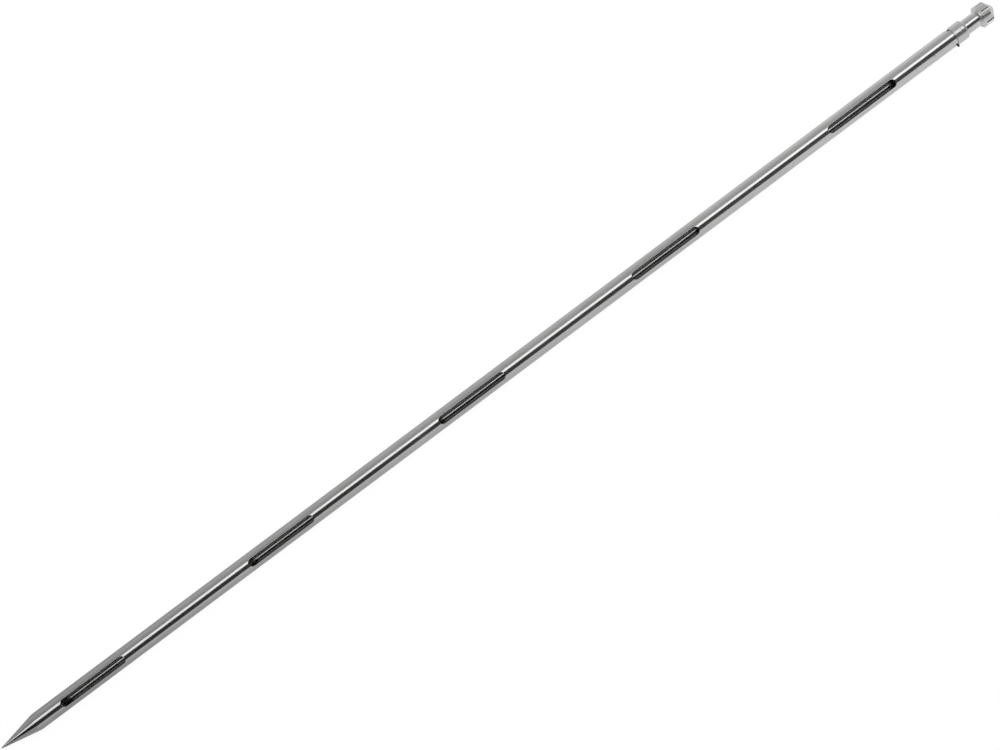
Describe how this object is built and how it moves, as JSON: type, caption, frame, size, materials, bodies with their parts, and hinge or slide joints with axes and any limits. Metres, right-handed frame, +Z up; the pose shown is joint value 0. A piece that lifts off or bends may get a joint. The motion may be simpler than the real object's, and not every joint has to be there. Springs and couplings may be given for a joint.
{
  "type": "double-tube sampling probe",
  "caption": "Long pointed steel double-tube probe with a row of slots; its fluted head turns the inner tube to open or close the sampling chambers.",
  "frame": {"origin": "middle of the bottom of the object's box as it lies on a flat surface", "axes": "+X runs along the probe from its point to its head, +Z is up, and the slots face up, leaning 18.5 degrees towards -Y"},
  "size_m": [1.6244, 0.0308, 0.0304],
  "materials": {
    "outer_steel": "polished stainless steel, finely brushed along the tube",
    "inner_steel": "drawn stainless steel tube, satin",
    "head_steel": "turned and polished stainless steel",
    "plug_steel": "turned stainless steel",
    "white_plastic": "turned white plastic rod",
    "pin_steel": "ground stainless steel",
    "dark_pin": "blackened steel"
  },
  "bodies": {
    "outer": {"outer_tube": "outer_steel", "pointed_tip": "outer_steel", "guide_pin": "pin_steel", "end_pin": "dark_pin"},
    "inner": {"inner_tube": "inner_steel", "foot_plug": "plug_steel", "partition_1": "white_plastic", "partition_2": "white_plastic", "partition_3": "white_plastic", "partition_4": "white_plastic", "turning_head": "head_steel", "stop_pin": "dark_pin"}
  },
  "joints": [
    {"name": "head_turn", "type": "hinge", "parent": "outer", "child": "inner", "pos_m": [0.74975, 0, 0.01513], "axis": [1, 0, 0.0018], "range_deg": [0, 210.11]}
  ]
}
